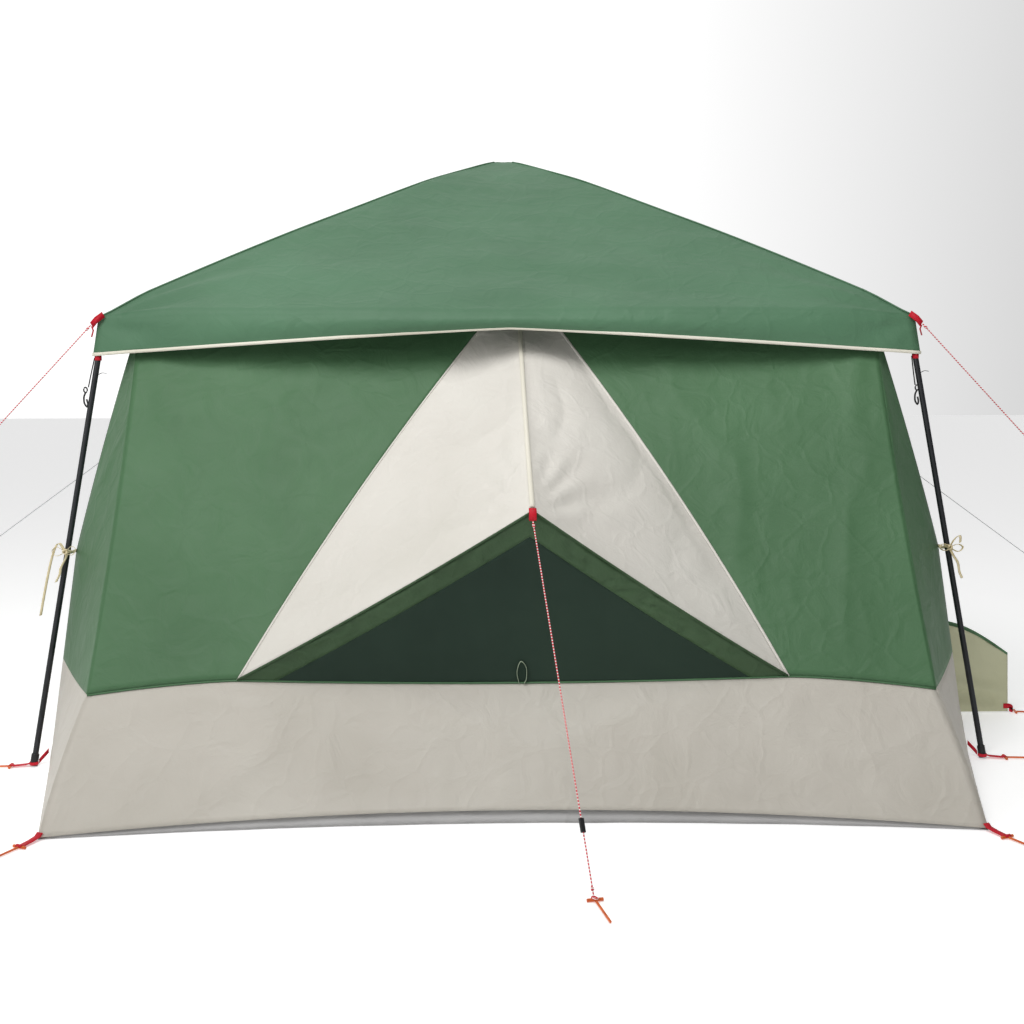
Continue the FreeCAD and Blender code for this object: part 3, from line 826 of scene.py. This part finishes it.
TRAY_LIP = 0.060
stations = [mix(-PEG.x, PEG.x, i / 72) for i in range(73)]
stations = [-SIDE_X + 0.002, -1.65] + stations + [1.65, SIDE_X - 0.002]
rows = []
for level in [mix(-1, 1, j / 60) for j in range(61)]:
    places = [Vector((x, (ground_half(x) - 0.012) * level, 1 / 3)) for x in stations]
    rows.append([Vector((p.x, p.y, 0.0016 + 0.0012 * noise.noise(p * 3))) for p in places])
for sign, place in ((-1, 0), (1, len(rows))):
    turned_up = []
    for rise in (1.0, 0.66, 0.33, 0.0):
        turned_up.append([])
        for x in stations:
            full = max(0.0, 1 - (x / PEG.x) ** 2) ** 0.7
            back = 0.004 + 0.040 * rise * full
            sag = 0.004 * noise.noise(Vector((x * 6, rise * 3, 4.0))) * full * (rise < 1)
            y = sign * min(ground_half(x) - back + sag, PEG_Y - 0.001)
            turned_up[-1].append(Vector((x, y, 0.0012 + TRAY_LIP * full * rise)))
    rows[place:place] = turned_up if sign < 0 else turned_up[::-1]
tray = make("groundsheet_tray", flatten(rows), grid_faces(len(rows) - 1, len(stations) - 1), GREY_SHEET,
            "groundsheet_cloth", ["groundsheet"])
cloth(tray)

# %% [markdown]
# ## The hooded window
# Two slack triangles of cream cloth are pulled forward to a point by the hood's own rope. A
# taped ridge runs from the eave to that point, and the cloth creases where it is pulled. Under
# the hood's rim hangs a green band, and the mesh screen closes the rest of the triangle.

# %% The hood
RIDGE_TOP = on_wall(0.045, TOP.z)


def ridge(t):
    """The hood's ridge, from its pulled point up to the eave, hanging a little slack."""
    return mix(HOOD_APEX, RIDGE_TOP, t) - UP * (0.035 * bow(t))


def rim(s, sx):
    """The hood's front edge, from its foot to its pulled point."""
    return mix(hood_seam(0, sx), HOOD_APEX, s) - UP * (0.012 * bow(s))


def hood_relief(seed):
    """Creases fan out from the pulled point and die away up the hood."""
    slack = wrinkles(2.4, 0.008, seed, (1.2, 0.8, 1.2))

    def relief(point, s, t):
        away = (point - HOOD_APEX).length
        angle = math.atan2(point.z - HOOD_APEX.z, abs(point.x - HOOD_APEX.x) + 0.02)
        fan = math.cos(13 * angle + seed) * math.exp(-((away - 0.20) / 0.22) ** 2)
        return slack(point, s, t) + 0.009 * fan - 0.028 * math.sin(math.pi * s) * math.sin(math.pi * t)
    return relief


hood_parts = []
for sx in (-1, 1):
    grid = stretched(lambda s: rim(s, sx), lambda s: mix(hood_seam(1, sx), RIDGE_TOP, s),
                     lambda t: hood_seam(t, sx), ridge, 50, 54, hood_relief(80 + sx))
    hood_parts.append((flatten(grid), grid_faces(54, 50, sx > 0)))
hood = weld(make("hood_cloth", *joined(hood_parts), CREAM, "cream_cloth", ["hood_panel"]))
cloth(hood)

# %% The band and the mesh
SILL = seam(0.0)
BAND = 0.090
inner_apex = HOOD_APEX + (SILL - HOOD_APEX).normalized() * BAND


def inner_base(sx):
    base = hood_seam(0, sx)
    return seam(base.x - sx * 0.130)


def inner_rim(s, sx):
    return mix(inner_base(sx), inner_apex, s) - UP * (0.010 * bow(s))


def sill(s, sx):
    return seam(mix(inner_base(sx).x, 0.0, s))


band_parts, mesh_parts = [], []
for sx in (-1, 1):
    band_grid = stretched(lambda s: inner_rim(s, sx), lambda s: rim(s, sx),
                          lambda t: mix(inner_base(sx), hood_seam(0, sx), t),
                          lambda t: mix(inner_apex, HOOD_APEX, t), 70, 6,
                          wrinkles(9.0, 0.012, 91 + sx, (1, 1, 2.5)))
    mesh_grid = stretched(lambda s: sill(s, sx), lambda s: inner_rim(s, sx),
                          lambda t: inner_base(sx), lambda t: mix(SILL, inner_apex, t), 50, 34,
                          wrinkles(2.0, 0.006, 95 + sx))
    band_parts.append((flatten(band_grid), grid_faces(6, 70, sx > 0)))
    mesh_parts.append((flatten(mesh_grid), grid_faces(34, 50, sx > 0)))
# The band under the hood's rim is the wall green with painted shade.
hood_band = weld(make("hood_band_cloth", *joined(band_parts), BAND_GREEN_PAINTED_SHADE, "wall_cloth", ["hood_band"]))
cloth(hood_band)
screen = weld(make("window_screen", *joined(mesh_parts), MESH, "mesh", ["window_mesh"]))
cloth(screen)

# %% [markdown]
# Seams are what hold a tent together, and they show as narrow raised lines: tape along the
# hood's ridge and sides, and a felled seam between the green and the cream.


# %% Seams and tapes
def tape(name, points, across, width, material, slot, lift=Vector((0, -0.002, 0))):
    """A strip of tape sewn along a line, standing a little off the cloth."""
    verts, faces = strip_mesh([p + lift for p in points], across, width)
    thicken(make(name, verts, faces, material, slot), 0.0016)


tape("hood_ridge_tape", [ridge(mix(0.02, 1, k / 40)) + Vector((0, -0.001, 0.004)) for k in range(41)],
     Vector((1, 0, 0)), 0.017, BINDING, "cream_cloth")
for side, sx in LEFT_RIGHT:
    tape("hood_seam_tape_" + side, [hood_seam(k / 40, sx) for k in range(41)],
         Vector((1, 0, 0.35)).normalized(), 0.010, CREAM, "cream_cloth", Vector((0, -0.003, 0)))
    # The rim piping takes the same darker green: painted shade under the hood.
    tape("hood_rim_piping_" + side, [rim(k / 40, sx) for k in range(41)],
         Vector((0, 0.3, 1)).normalized(), 0.008, BAND_GREEN_PAINTED_SHADE, "wall_cloth", Vector((0, -0.004, 0.002)))
for side, sy in (("front", 1), ("back", -1)):
    line = [mirrored(back_low(k / 80), 1, sy) for k in range(81)]
    tape("mud_seam_" + side, line, Vector((0, 0.56 * sy, 0.83)).normalized(), 0.006, WALL_GREEN, "wall_cloth",
         Vector((0, -0.003 * sy, 0)))
for side, sx in LEFT_RIGHT:
    edge = side_edge(SIDE_MUD)
    line = [Vector((sx * edge.x, mix(edge.y + 0.02, -edge.y - 0.02, k / 60), SIDE_MUD)) for k in range(61)]
    tape("mud_seam_side_" + side, line, Vector((0, 0, 1)), 0.006, WALL_GREEN, "wall_cloth",
         Vector((sx * 0.003, 0, 0)))

# %% [markdown]
# ## Webbing, ties and hooks
# Everything that is pulled is sewn to webbing. A red tab takes each roof rope, a red strap runs
# from each pegged corner and each foot to its peg, and ivory ribbons tie the wall to the legs.

# %% Red webbing
WEB, WEB_THICK = 0.025, 0.0018


def folded_strap(points, across, width=WEB):
    """A strap along a line, as a closed flat loop of webbing with real thickness."""
    verts, faces = [], []
    for index, point in enumerate(points):
        ahead = (points[min(index + 1, len(points) - 1)] - points[max(index - 1, 0)]).normalized()
        up = ahead.cross(across).normalized() * (WEB_THICK / 2)
        side = across * (width / 2)
        verts += [point - side - up, point - side * 0.92 + up, point + side * 0.92 + up, point + side - up]
    for j in range(len(points) - 1):
        for k in range(4):
            faces.append((4 * j + k, 4 * j + (k + 1) % 4, 4 * j + 4 + (k + 1) % 4, 4 * j + 4 + k))
    last = 4 * (len(points) - 1)
    faces += [(3, 2, 1, 0), (last, last + 1, last + 2, last + 3)]
    return verts, faces


def steps_from(base, *steps):
    """A list of points, each given as a step from the same base."""
    return [base + Vector(step) for step in steps]


def wrap(middle, radius, width):
    """A band of webbing round an upright tube."""
    return folded_strap([middle + turn for turn in circle(24, radius)], UP, width)


tabs, straps = [], []
for sx, sy in CORNERS:
    diagonal = Vector((sx, sy, 0)).normalized()
    cross = Vector((-diagonal.y, diagonal.x, 0))
    roof_corner = Vector((sx * EAVE, sy * EAVE, EAVE_Z + 0.018))
    rope_start = Vector((sx * TAB_OUT, sy * TAB_OUT, TAB_Z))
    sewn = roof_corner + Vector((-sx * 0.022, sy * 0.008, -0.014))
    over = [sewn, mix(sewn, rope_start, 0.5) + diagonal * 0.004, rope_start - diagonal * 0.004]
    under = [rope_start - diagonal * back - UP * drop
             for back, drop in ((0.004, 0.004), (0.010, 0.020), (0.002, 0.045))]
    tabs += [folded_strap(over, Vector((sx * 0.5, 0, 0.87)), 0.024), folded_strap(under, cross, 0.010)]
    tabs.append(wrap(leg_at(HEM_Z - 0.022, sx, sy), 0.0125, 0.018))

    outward = Vector((sx * 0.45, sy, 0)).normalized()
    flat = Vector((-outward.y, outward.x, 0))
    corner = Vector((sx * PEG.x, -sy * PEG.y, 0.012))
    peg_at = Vector((sx * PEG.x, -sy * PEG.y, 0.006)) + outward * 0.076
    straps.append(folded_strap([corner - outward * 0.012 + UP * 0.010, corner,
                                corner + outward * 0.03 - UP * 0.004, peg_at - outward * 0.010,
                                peg_at + UP * 0.007, peg_at + outward * 0.008 + UP * 0.001], flat))
    side = Vector((sx, sy * 0.1, 0)).normalized()
    across = Vector((-side.y, side.x, 0))
    foot = leg_at(0.026, sx, sy)
    foot_peg = Vector((sx * (FOOT_HALF + 0.018), sy * (FOOT_HALF + 0.004), 0.006)) + side * 0.065
    straps.append(folded_strap([foot + side * 0.016 - UP * 0.014, foot + side * 0.030 - UP * 0.018,
                                foot_peg - side * 0.012, foot_peg + UP * 0.007,
                                foot_peg + side * 0.009], across))
    wall_corner = Vector((sx * (SIDE.x + 0.004), sy * -SIDE.y, 0.050))
    straps.append(folded_strap([wall_corner, mix(wall_corner, foot, 0.5) - UP * 0.012,
                                foot + Vector((-sx * 0.012, -sy * 0.012, -0.012))], UP, 0.018))
    straps.append(wrap(leg_at(0.012, sx, sy), 0.0160, 0.012))
make("roof_corner_webbing", *joined(tabs), RED_WEBBING, "red_webbing", ["roof_corner_tabs"])
make("peg_straps", *joined(straps), RED_WEBBING, "red_webbing", ["peg_loops"])

apex_tab = folded_strap(steps_from(HOOD_APEX, (0, 0.016, 0.010), (0, 0.002, 0.008), (0, -0.008, 0.000),
                                   (0, -0.013, -0.024), (0, -0.006, -0.030), (0, 0.004, -0.020)),
                        Vector((1, 0, 0)), 0.026)
make("hood_apex_tab", *apex_tab, RED_WEBBING, "red_webbing", ["hood_tab"])

# %% [markdown]
# A knotted ribbon ties the wall's edge to each leg, with two loops and two tails; the left one
# hangs long. Beside each leg's top a black hook hangs on a short strap.


# %% Ribbon ties and black hooks
def curve_through(points, steps):
    """A smooth line through given points, each pair joined by a Catmull-Rom span."""
    full = [points[0] * 2 - points[1]] + points + [points[-1] * 2 - points[-2]]
    line = []
    for a, b, c, d in zip(full, full[1:], full[2:], full[3:]):
        for k in range(steps):
            t = k / steps
            line.append((b * 2 + (c - a) * t + (a * 2 - b * 5 + c * 4 - d) * t * t
                         + (b * 3 - a - c * 3 + d) * t ** 3) * 0.5)
    return line + [points[-1]]


ribbons, hooks = [], []
for sx, sy in CORNERS:
    leg = leg_at(TIE.z, sx, sy)
    edge = Vector((sx * TIE.x, -sy * TIE.y, TIE.z))
    knot = leg + Vector((sx * 0.002, sy * 0.018, 0.002))
    around = [leg + turn + UP * (0.006 * math.sin(math.pi * k / 24))
              for k, turn in enumerate(circle(24, 0.0135))]
    ribbons.append(folded_strap(around, UP, 0.014))
    ribbons.append(folded_strap(curve_through([edge, mix(edge, knot, 0.5) - UP * 0.004, knot], 6), UP, 0.012))
    ends = [((-0.022, 0.035), (-0.045, -0.010), (-0.070, -0.110), (-0.098, -0.245)),
            ((0.004, -0.020), (-0.016, -0.060), (-0.020, -0.085), (-0.034, -0.115)),
            ((-0.030, 0.020), (-0.048, 0.004), (-0.030, -0.014), (-0.004, -0.004)),
            ((0.026, 0.022), (0.044, 0.010), (0.030, -0.010), (0.004, -0.002))]
    if sx > 0:
        ends = [((0.014, 0.030), (0.030, 0.046), (0.036, 0.040), (0.034, 0.020)),
                ((0.012, -0.030), (0.030, -0.060), (0.036, -0.095), (0.046, -0.120)),
                ((-0.026, 0.014), (-0.044, 0.002), (-0.026, -0.012), (-0.004, -0.004)),
                ((0.030, 0.012), (0.048, 0.000), (0.030, -0.016), (0.004, -0.006))]
    for end_index, tail in enumerate(ends):
        points = [knot] + [knot + Vector((dx, sy * (0.008 + 0.004 * k), dz))
                           for k, (dx, dz) in enumerate(tail)]
        twist = Vector((0.25, 0.95 * sy, 0.2)) if end_index > 1 else Vector((0.9, 0.3, 0.3))
        ribbons.append(folded_strap(curve_through(points, 6), twist.normalized(), 0.011))
    ball = [knot + Vector((0.007 * turn.x, sy * 0.004 + 0.012 * turn.x * turn.y, 0.007 * turn.y))
            for turn in circle(18)]
    ribbons.append(tube_mesh(ball, 0.0045))

    low_hook = leg_at(1.40, sx, sy) + Vector((-0.016, 0, 0))
    loop = steps_from(low_hook, (-0.006, 0, 0.030), (-0.013, 0, 0.012), (-0.012, 0, -0.012),
                      (-0.002, 0, -0.026), (0.001, 0, -0.014), (-0.003, 0, 0.004))
    hooks.append(tube_mesh(curve_through(loop, 6), 0.0036))
    eye = [low_hook + Vector((turn.x - 0.006, 0, 0.040 + turn.y)) for turn in circle(16, 0.007, 0.010)]
    hooks.append(tube_mesh(eye, 0.0030))
    strap_line = [leg_at(z, sx, sy) - Vector((gap, 0, 0))
                  for z, gap in ((1.565, 0.014), (1.50, 0.018), (1.45, 0.020))]
    hooks.append(folded_strap(curve_through(strap_line, 5), Vector((0, 1, 0)), 0.010))
    tail_line = steps_from(leg_at(1.50, sx, sy), (0.012, 0, 0), (0.026, 0, 0.006), (0.042, 0, 0.004))
    hooks.append(folded_strap(curve_through(tail_line, 4), Vector((0, 1, 0)), 0.008))
make("wall_tie_ribbons", *joined(ribbons), RIBBON, "tie_ribbon", ["wall_ties"])
make("wall_hook_cords", *joined(hooks), MOULDED, "slider_plastic", ["wall_hooks"])

loop_low = seam(0.028) + Vector((0, -0.006, -0.002))
loop_line = curve_through(steps_from(loop_low, (-0.010, 0, 0), (-0.017, -0.010, 0.045),
                                     (-0.004, -0.016, 0.082), (0.015, -0.012, 0.060),
                                     (0.016, -0.006, 0.020), (0.008, 0, 0)), 7)
make("window_pull_loop", *folded_strap(loop_line, Vector((0, 1, 0)), 0.010), GREEN_RIBBON, "loop_ribbon",
     ["window_loop"])

# %% [markdown]
# ## The side flap
# The low corner of the right wall is unzipped, swung out on its sewn edge and pegged. It is the
# same cream cloth with a strip of the green above it, so it is one sheet with a green top. Its
# cream is painted darker and greener than the walls' cream, as painted shade on the flap.

# %% The side flap, its tab and the zip
HINGE_X, FLAP_Y, FLAP_REACH, FLAP_TIP_Z, FLAP_LOW = 1.806, -1.1685, 2.220, 0.271, 0.006


def flap_inner(t):
    z = mix(FLAP_LOW, SIDE_MUD, t)
    return Vector((side_strip(0, z).x + HINGE_X - SIDE_X + 0.001, FLAP_Y, z))


def flap_outer(t):
    return Vector((FLAP_REACH - 0.010 * t, FLAP_Y, mix(FLAP_LOW, FLAP_TIP_Z, t)))


def flap_line(s, t):
    """A line across the flap: straight at the ground, arched over the shoulder at the top."""
    return mix(flap_inner(t), flap_outer(t), s) + UP * (0.066 * t * math.sin(math.pi * s ** 0.9))


def flap_folds(point, s, t):
    """Folds that run from the pegged corner back along the ground and die out upwards."""
    slant = point.z - 0.10 * (FLAP_REACH - point.x)
    low = 0.011 * math.sin(slant * 62 + 2.0 * s) * math.exp(-(max(0.0, t - 0.15) / 0.35) ** 2)
    return (low + 0.005 * noise.noise(Vector((point.x * 10, 2.0, point.z * 6)))) * smooth(2.5 * s)


def flap_part(name, low_t, high_t, rows, material, slot, replaces):
    grid = stretched(lambda s: flap_line(s, low_t), lambda s: flap_line(s, high_t),
                     lambda t: flap_inner(mix(low_t, high_t, t)), lambda t: flap_outer(mix(low_t, high_t, t)),
                     44, rows, flap_folds)
    piece = make(name, flatten(grid), grid_faces(rows, 44), material, slot, replaces, "side_flap")
    return cloth(piece)


# The flap's cloth is the cream with painted shade.
flap_part("side_flap_cloth", 0.0, 0.955, 36, CREAM_PAINTED_SHADE_FLAP, "khaki_cloth", ["side_flap"])
flap_part("side_flap_top_strip", 0.955, 1.0, 3, WALL_GREEN, "wall_cloth", [])
tab_line = steps_from(Vector((FLAP_REACH, FLAP_Y, 0.030)), (-0.020, 0, 0), (0.006, 0, 0),
                      (0.020, 0, -0.008), (0.022, 0, -0.018), (0.006, 0, -0.014))
make("side_flap_tab", *folded_strap(curve_through(tab_line, 4), Vector((0, 0, -1)), 0.022), RED_WEBBING,
     "red_webbing", ["flap_tab"], "side_flap")

ZIP_Y = OPENING_REAR - 0.009
zip_low, zip_high = side_strip(ZIP_Y, 0.010), side_strip(ZIP_Y, SIDE_MUD)
zip_run = (zip_high - zip_low).normalized()
zip_out = Vector((zip_run.z, 0, -zip_run.x))
zip_parts = [folded_strap([mix(zip_low, zip_high, k / 10) for k in range(11)], Vector((0, 1, 0)), 0.016)]
TOOTH = 0.004
TOOTH_FACES = [(0, 1, 3, 2), (4, 6, 7, 5), (0, 4, 5, 1), (2, 3, 7, 6), (0, 2, 6, 4), (1, 5, 7, 3)]
for k in range(int((zip_high - zip_low).length / TOOTH)):
    middle = zip_low + zip_run * (TOOTH * (k + 0.5)) + zip_out * 0.0015 + Vector((0, -0.006, 0))
    long, wide, high = zip_run * 0.0011, Vector((0, 0.0022, 0)), zip_out * 0.0010
    tooth = [middle + long * a + wide * b + high * c for a in (-1, 1) for b in (-1, 1) for c in (-1, 1)]
    zip_parts.append((tooth, TOOTH_FACES))
make("zip_tape_and_teeth", *joined(zip_parts), WALL_GREEN, "zip_cloth", ["zip_tape"])

# %% [markdown]
# ## Finishes of the hard parts
# The frame's own tubes, elbows, hub, feet and pegs keep their shape and only need their finish.

# %% Finish the frame's own parts
FINISHES = {"frame_steel": POWDER_COAT, "ferrule_steel": BARE_STEEL, "frame_plastic": MOULDED,
            "slider_plastic": MOULDED, "zip_metal": ZIP_ENAMEL, "peg_orange": ORANGE}
finished = 0
for entry in frame["record"]["subparts"]:
    finish = FINISHES.get(entry["material_slot"])
    node = frame["nodes"].get(entry["node"])
    if finish and node and not node.hide_render:
        node.data.materials.clear()
        node.data.materials.append(finish)
        finished += 1
print(finished, "hard parts finished")

# %% [markdown]
# ## Light and floor
# The house stands on a faintly glowing white floor. One soft light is in front at the left and a
# larger one is overhead. The sky is bright behind the house and dim at the right, so the cloth
# grades from light at the left to darker at the right.

# %% Floor and lights
def stage_plane(name, corners, material):
    """A flat piece of the studio, which is not part of the house."""
    mesh = bpy.data.meshes.new(name)
    mesh.from_pydata(corners, [], [(0, 1, 2, 3)])
    mesh.materials.append(material)
    placed(name, mesh)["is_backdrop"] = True


glow = {"Emission_Color": (1.0, 1.0, 1.0, 1.0)}
table_finish, _ = new_material("light_table_acrylic", "f4f4f4", 0.95, Emission_Strength=0.34, **glow)
stage_plane("floor", [(-60, -60, -0.001), (60, -60, -0.001), (60, 60, -0.001), (-60, 60, -0.001)],
            table_finish)

world = bpy.data.worlds.new("sky")
world.use_nodes = True
world.node_tree.nodes["Background"].inputs["Color"].default_value = (1.0, 1.0, 1.0, 1.0)
toward = add(world, "ShaderNodeTexCoord").outputs["Generated"]
axes = add(world, "ShaderNodeSeparateXYZ", Vector=toward)
behind = map_range(world, axes.outputs["Y"], 0.36, 1.15, From_Min=0.10, From_Max=0.55)
shade = map_range(world, axes.outputs["X"], 1.0, 0.2, From_Min=0.05, From_Max=0.75)
sky = add(world, "ShaderNodeMath", {"operation": "MULTIPLY"}, i0=behind, i1=shade)
link(world, sky.outputs[0], world.node_tree.nodes["Background"].inputs["Strength"])
bpy.context.scene.world = world


def soft_light(name, place, target, width, watts):
    data = bpy.data.lights.new(name, "AREA")
    data.shape, data.size, data.energy = "DISK", width, watts
    lamp = placed(name, data)
    lamp.location = place
    lamp.rotation_euler = (Vector(target) - Vector(place)).to_track_quat("-Z", "Y").to_euler()


soft_light("key", (-4.4, -5.6, 3.8), (-1.0, -1, 1.2), 2.6, 66)
soft_light("overhead", (-0.6, -4.2, 6.2), (0, -0.6, 2.1), 3.6, 235)

# %% Sizes, and finish
shown_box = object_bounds()
for name, box in (("cad", cad_box), ("shown", shown_box)):
    print(name, [[round(v, 3) for v in corner] for corner in box])
